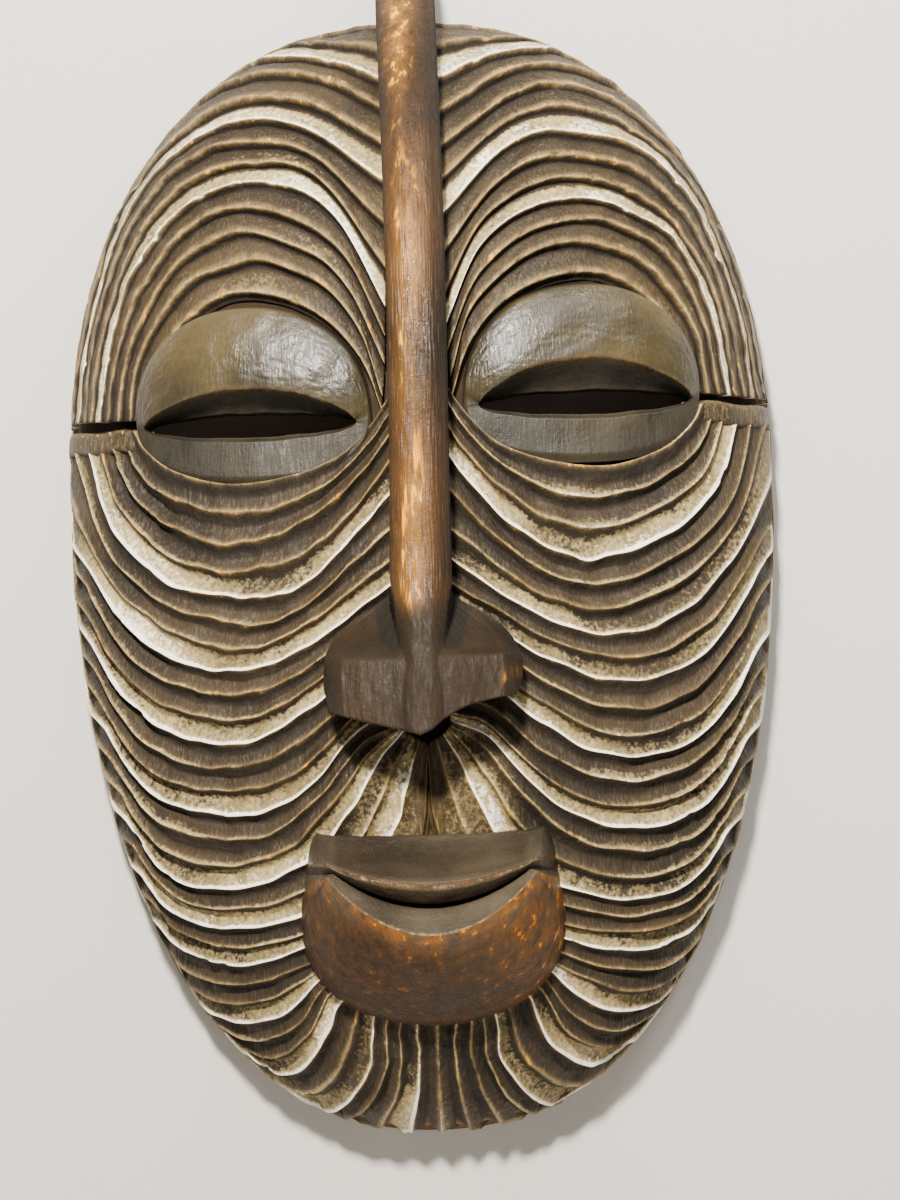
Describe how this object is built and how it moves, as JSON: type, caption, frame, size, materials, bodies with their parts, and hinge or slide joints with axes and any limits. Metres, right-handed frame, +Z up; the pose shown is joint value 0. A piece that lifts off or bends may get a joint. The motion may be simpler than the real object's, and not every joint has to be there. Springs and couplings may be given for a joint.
{
  "type": "carved wooden mask",
  "caption": "Long oval carved wooden face mask with narrow see-through eyes, a keel over the forehead running into the nose, a block mouth, a deep hollow back and a hinged hanging ring.",
  "frame": {"origin": "the hanging point: inside top of the hanger ring, where the nail bears", "axes": "+Z up, -Y the way the face looks, +Y towards the wall and the open back, +X to the viewer's right"},
  "size_m": [0.264, 0.133, 0.439],
  "materials": {
    "patinated_wood": "dark hand-rubbed patina with white clay in some of the grooves",
    "plated_steel": "dull zinc plate",
    "steel_wire": "bent wire, satin",
    "screw_brass": "aged"
  },
  "bodies": {
    "mask": {"carved_mask": "patinated_wood", "hanger_strap": "plated_steel", "hanger_screws": "screw_brass"},
    "ring": {"hanger_ring": "steel_wire"}
  },
  "joints": [
    {"name": "ring_hinge", "type": "hinge", "parent": "mask", "child": "ring", "pos_m": [0, 0.00072, -0.01178], "axis": [-1, 0, 0], "range_deg": [0, 177]}
  ]
}
